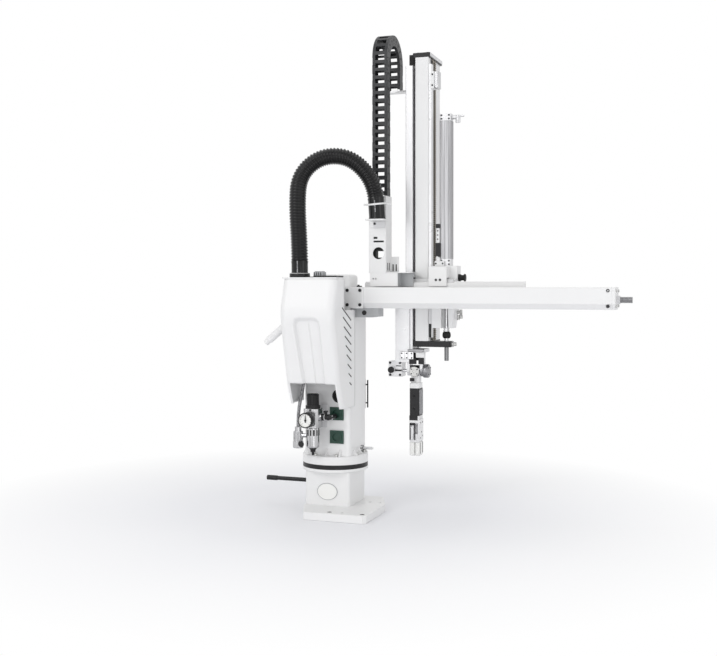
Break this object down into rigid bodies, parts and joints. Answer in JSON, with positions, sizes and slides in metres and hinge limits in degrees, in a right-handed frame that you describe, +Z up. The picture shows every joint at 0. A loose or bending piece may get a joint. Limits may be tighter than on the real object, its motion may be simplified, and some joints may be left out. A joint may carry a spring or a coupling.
{
  "type": "swing-arm manipulator",
  "caption": "Swing-arm take-out manipulator: pedestal, swinging column with cover, horizontal beam, telescopic vertical arm with flip wrist and gripper.",
  "frame": {"origin": "on the swing axis, at the underside of the base plate", "axes": "+Z up along the swing axis, +X along the horizontal beam, -Y towards the front cover"},
  "size_m": [1.062, 0.435, 1.3845],
  "materials": {
    "white_paint": "semi-gloss powder coat",
    "grey_paint": "satin",
    "black_paint": "satin",
    "anodised_aluminium": "satin anodised",
    "brushed_steel": "ground",
    "black_plastic": "moulded",
    "chain_plastic": "moulded",
    "hose_plastic": "glossy",
    "rubber": "matte",
    "green_plastic": "moulded",
    "dial_plastic": "glossy",
    "needle_plastic": "printed",
    "belt_rubber": "fabric-backed",
    "tube_plastic": "clear grey"
  },
  "bodies": {
    "pedestal": {"base_plate": "white_paint", "pedestal": "white_paint", "side_bar": "black_plastic", "bearing_outer_ring": "black_paint", "actuator_shaft": "brushed_steel"},
    "swing_column": {"bearing_inner_ring": "brushed_steel", "upper_flange": "white_paint", "column": "white_paint", "port_plates": "green_plastic", "swing_actuator": "anodised_aluminium", "rear_cover": "white_paint", "swing_sensor": "brushed_steel", "front_cover": "white_paint", "cover_lid": "black_paint", "swing_damper": "white_paint", "beam": "white_paint", "beam_end_cap": "white_paint", "stroke_adjuster": "brushed_steel", "beam_saddle": "white_paint", "beam_bracket": "grey_paint", "kick_rail": "brushed_steel", "kick_barrel": "anodised_aluminium", "service_unit_body": "black_plastic", "filter_bowl": "anodised_aluminium", "service_unit_bracket": "black_plastic", "pressure_gauge": "dial_plastic", "air_tube": "tube_plastic", "shutoff_valve": "anodised_aluminium", "corrugated_hose": "hose_plastic"},
    "regulator_knob": {"regulator_knob": "black_plastic"},
    "gauge_needle": {"gauge_needle": "needle_plastic"},
    "carriage": {"carriage_shoes": "brushed_steel", "carriage_back_plate": "white_paint", "chain_base": "white_paint", "arm_guide_block": "white_paint", "chain_bracket": "white_paint", "kick_rod": "brushed_steel", "kick_buffer": "rubber", "lift_barrel": "anodised_aluminium", "lift_heads": "anodised_aluminium", "chain_front_run": "chain_plastic"},
    "main_arm": {"arm_profile": "white_paint", "arm_top_cap": "black_paint", "arm_foot_plate": "black_paint", "arm_rails": "brushed_steel", "rod_buffer": "rubber", "drive_belt": "belt_rubber", "lift_rod": "brushed_steel", "chain_loop": "chain_plastic"},
    "sub_arm": {"sub_arm": "anodised_aluminium", "flip_bracket": "grey_paint", "flip_cylinder": "anodised_aluminium", "flip_drum": "black_paint", "chain_rear_run": "chain_plastic"},
    "wrist": {"flip_hub": "brushed_steel", "wrist_neck": "white_paint", "posture_body": "black_paint", "gripper_body": "anodised_aluminium"},
    "jaw_left": {"jaw_left": "anodised_aluminium"},
    "jaw_right": {"jaw_right": "anodised_aluminium"}
  },
  "joints": [
    {"name": "swing", "type": "hinge", "parent": "pedestal", "child": "swing_column", "pos_m": [0, 0, 0.134], "axis": [0, 0, 1], "range_deg": [0, 90]},
    {"name": "kick", "type": "slide", "parent": "swing_column", "child": "carriage", "axis": [1, 0, 0], "range_m": [0, 0.13], "deforming": ["corrugated_hose"]},
    {"name": "arm_lift", "type": "slide", "parent": "carriage", "child": "main_arm", "axis": [0, 0, 1], "range_m": [-0.37, 0], "deforming": ["chain_front_run"]},
    {"name": "sub_slide", "type": "slide", "parent": "main_arm", "child": "sub_arm", "axis": [0, 0, 1], "range_m": [-0.37, 0], "deforming": ["chain_rear_run"]},
    {"name": "wrist_flip", "type": "hinge", "parent": "sub_arm", "child": "wrist", "pos_m": [0.2215, 0.08, 0.402], "axis": [1, 0, 0], "range_deg": [-90, 0]},
    {"name": "jaw_left_grip", "type": "hinge", "parent": "wrist", "child": "jaw_left", "pos_m": [0.214, 0.08, 0.205], "axis": [0, 1, 0], "range_deg": [0, 12]},
    {"name": "jaw_right_grip", "type": "hinge", "parent": "wrist", "child": "jaw_right", "pos_m": [0.229, 0.08, 0.205], "axis": [0, 1, 0], "range_deg": [-12, 0]},
    {"name": "knob_turn", "type": "hinge", "parent": "swing_column", "child": "regulator_knob", "pos_m": [-0.0245, -0.115, 0.31], "axis": [0, 0, 1], "range_deg": [-180, 180]},
    {"name": "needle_turn", "type": "hinge", "parent": "swing_column", "child": "gauge_needle", "pos_m": [-0.0305, -0.155, 0.274], "axis": [0, 1, 0], "range_deg": [-135, 135]}
  ],
  "couplings": [
    {"joint": "sub_slide", "follows": "arm_lift", "ratio": 1},
    {"joint": "jaw_right_grip", "follows": "jaw_left_grip", "ratio": -1}
  ]
}
